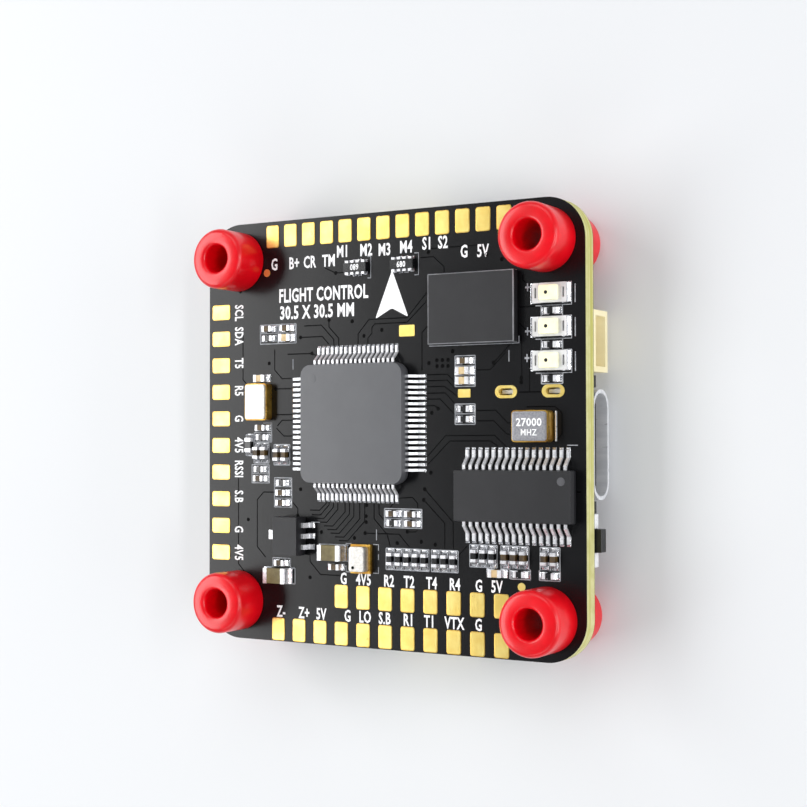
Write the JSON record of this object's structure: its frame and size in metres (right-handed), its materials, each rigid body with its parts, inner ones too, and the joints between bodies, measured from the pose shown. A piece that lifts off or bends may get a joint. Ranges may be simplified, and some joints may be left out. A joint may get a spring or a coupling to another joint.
{
  "type": "flight controller board",
  "caption": "Square flight controller board for a small drone, with soft grommets in its corner holes, gold solder pads on its edges, a USB socket and a boot button.",
  "frame": {"origin": "centre of the 30.5 mm mounting pattern, on the plane of the grommets' lower faces", "axes": "+Z out of the component side, +Y the flight direction, +X out of the USB edge"},
  "size_m": [0.0379, 0.0374, 0.009],
  "materials": {
    "fr4": "satin",
    "solder_mask": "satin",
    "gold_plating": "polished",
    "red_silicone": "glossy",
    "chip_epoxy": "matte",
    "tinned_lead": "bright",
    "gold_can": "polished",
    "steel": "satin",
    "led_ceramic": "matte",
    "led_lens": "satin",
    "resistor_glaze": "glossy",
    "capacitor_brown": "satin",
    "capacitor_pale": "satin",
    "capacitor_khaki": "satin",
    "black_plastic": "satin",
    "contact_gold": "polished",
    "cream_nylon": "satin",
    "contact_tin": "bright",
    "ferrite": "matte"
  },
  "bodies": {
    "board": {"barometer_base": "gold_can", "barometer_lid": "steel", "boot_switch_base": "black_plastic", "boot_switch_cover": "steel", "boot_switch_dome": "steel", "bulk_capacitor_bodies": "capacitor_khaki", "chip_capacitor_bodies": "capacitor_brown", "chip_resistor_bodies": "resistor_glaze", "chip_terminals": "tinned_lead", "converter_chips": "chip_epoxy", "converter_leads": "tinned_lead", "diode_body": "chip_epoxy", "esc_connector_housing": "cream_nylon", "esc_connector_pins": "contact_tin", "grommet_front_left": "red_silicone", "grommet_front_right": "red_silicone", "grommet_rear_left": "red_silicone", "grommet_rear_right": "red_silicone", "imu_sensor": "chip_epoxy", "inductor_terminals": "tinned_lead", "led_bases": "led_ceramic", "led_lenses": "led_lens", "led_terminals": "tinned_lead", "mcu_body": "chip_epoxy", "mcu_crystal_can": "gold_can", "mcu_crystal_lid": "steel", "mcu_leads": "tinned_lead", "memory_chip_body": "chip_epoxy", "memory_chip_lands": "tinned_lead", "osd_chip_body": "chip_epoxy", "osd_chip_leads": "tinned_lead", "osd_crystal_can": "gold_can", "osd_crystal_lid": "steel", "pads_front_edge": "gold_plating", "pads_left_edge": "gold_plating", "pads_rear_edge": "gold_plating", "pale_capacitor_bodies": "capacitor_pale", "pcb_laminate": "fr4", "power_inductors": "ferrite", "regulator_body": "chip_epoxy", "regulator_leads": "tinned_lead", "resistor_array_bodies": "chip_epoxy", "resistor_array_terminals": "tinned_lead", "signal_connector_housing": "cream_nylon", "signal_connector_pins": "contact_tin", "solder_mask_bottom": "solder_mask", "solder_mask_top": "solder_mask", "test_pads": "gold_plating", "underside_capacitor_bodies": "capacitor_brown", "underside_resistor_bodies": "resistor_glaze", "underside_terminals": "tinned_lead", "usb_c_contacts": "contact_gold", "usb_c_shell": "steel", "usb_c_tongue": "black_plastic", "usb_protection_chips": "chip_epoxy", "usb_slot_plating": "gold_plating", "video_connector_housing": "cream_nylon", "video_connector_pins": "contact_tin"},
    "plunger": {"boot_switch_plunger": "black_plastic"}
  },
  "joints": [
    {"name": "boot_button_press", "type": "slide", "parent": "board", "child": "plunger", "axis": [-1, 0, 0], "range_m": [0, 0.00025], "stiffness_N_per_m": 400, "springref_m": -0.0005}
  ]
}
